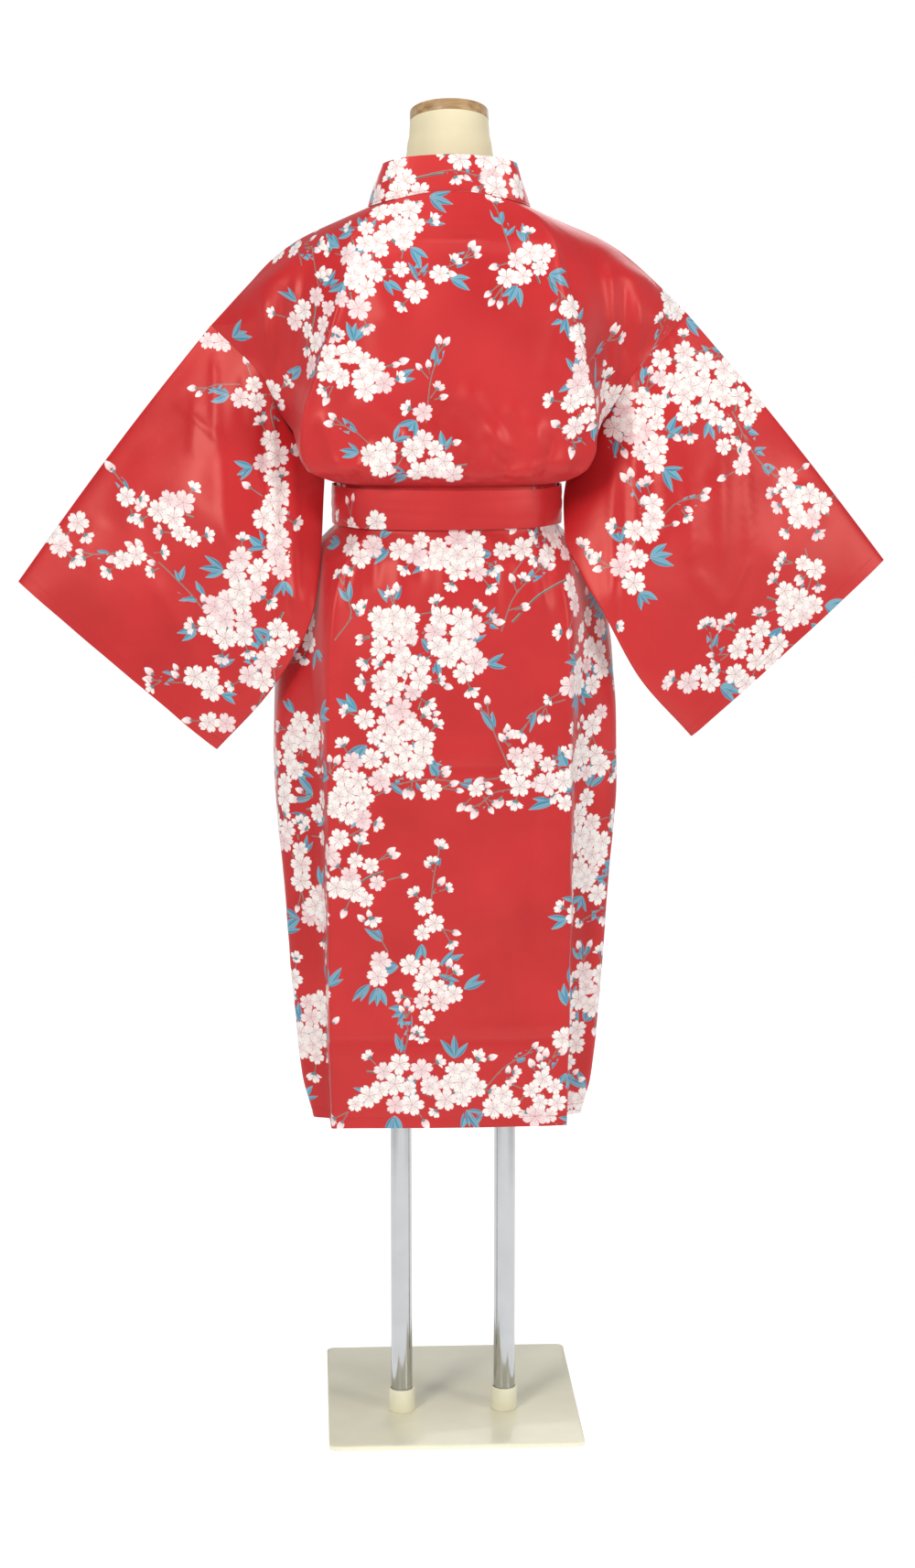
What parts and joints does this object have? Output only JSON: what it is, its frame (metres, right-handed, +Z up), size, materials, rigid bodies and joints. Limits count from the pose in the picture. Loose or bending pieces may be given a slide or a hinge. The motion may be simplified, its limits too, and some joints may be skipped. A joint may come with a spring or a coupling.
{
  "type": "happi coat on a limbless dress form stand",
  "caption": "Wide-sleeved printed satin happi coat with collar band and belt, worn by a limbless dress form on a two-pole stand.",
  "frame": {"origin": "middle of the base plate's underside, on the floor", "axes": "+Z up. The coat's back faces -Y and its fronts face +Y. +X is the wearer's right."},
  "size_m": [1.0052, 0.33, 1.5494],
  "materials": {
    "satin": "smooth polyester satin, red, with a printed blossom pattern in white, pink and teal",
    "form": "cream cloth stretched smooth over the form",
    "wood": "light varnished wood",
    "chrome": "polished chrome tube",
    "stand": "cream enamel, low gloss"
  },
  "bodies": {
    "root": {"back": "satin", "front_left": "satin", "front_right": "satin", "sleeve_left": "satin", "sleeve_right": "satin", "collar": "satin", "belt": "satin", "belt_knot": "satin", "belt_end_a": "satin", "belt_end_b": "satin", "form_torso": "form", "neck_cap": "wood", "pole_left": "chrome", "pole_right": "chrome", "socket_left": "stand", "socket_right": "stand", "base_plate": "stand"}
  },
  "joints": []
}
